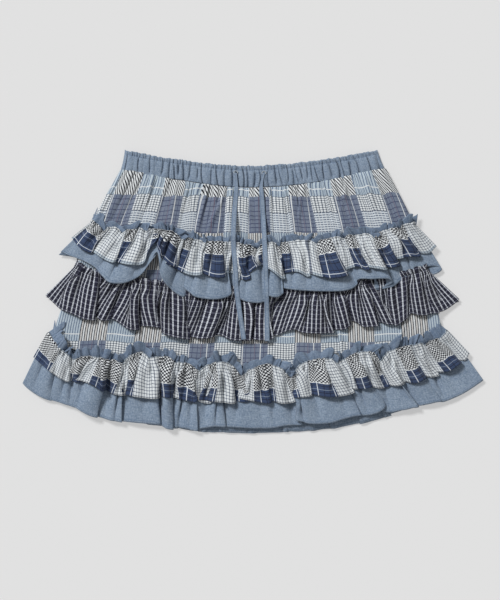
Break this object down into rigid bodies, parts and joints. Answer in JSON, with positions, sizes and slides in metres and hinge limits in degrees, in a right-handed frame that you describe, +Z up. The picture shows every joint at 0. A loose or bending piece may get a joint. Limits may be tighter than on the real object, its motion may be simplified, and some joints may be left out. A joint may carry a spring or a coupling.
{
  "type": "tiered ruffle skirt",
  "caption": "Short skirt with an elasticated drawstring waist and tiers of gathered plain, patchwork and checked ruffles, laid flat.",
  "frame": {"origin": "centre of the laid-out skirt, on the surface it lies on", "axes": "+X across the skirt towards the right of the picture, +Y from the hem towards the waist, +Z up out of the front"},
  "size_m": [0.621, 0.38, 0.028],
  "materials": {
    "chambray": "plain weave slate-blue cotton chambray, matt",
    "patchwork_body": "yarn-dyed patchwork plaid cotton in slate, pale blue, black, white and tan, matt",
    "patchwork_ruffle": "yarn-dyed patchwork plaid cotton in white, black, pale blue and navy, matt",
    "gingham": "black-navy and white woven check cotton, matt",
    "drawstring_tape": "flat folded and stitched chambray tape, matt"
  },
  "bodies": {
    "root": {"waistband_front": "chambray", "waistband_back": "chambray", "body_front": "patchwork_body", "body_back": "patchwork_body", "hip_ruffle_front": "chambray", "hip_ruffle_back": "chambray", "hip_ruffle_overlay_front": "patchwork_ruffle", "hip_ruffle_overlay_back": "patchwork_ruffle", "check_ruffle_front": "gingham", "check_ruffle_back": "gingham", "hem_ruffle_front": "chambray", "hem_ruffle_back": "chambray", "hem_ruffle_overlay_front": "patchwork_ruffle", "hem_ruffle_overlay_back": "patchwork_ruffle", "drawstring_left": "drawstring_tape", "drawstring_right": "drawstring_tape"}
  },
  "joints": []
}
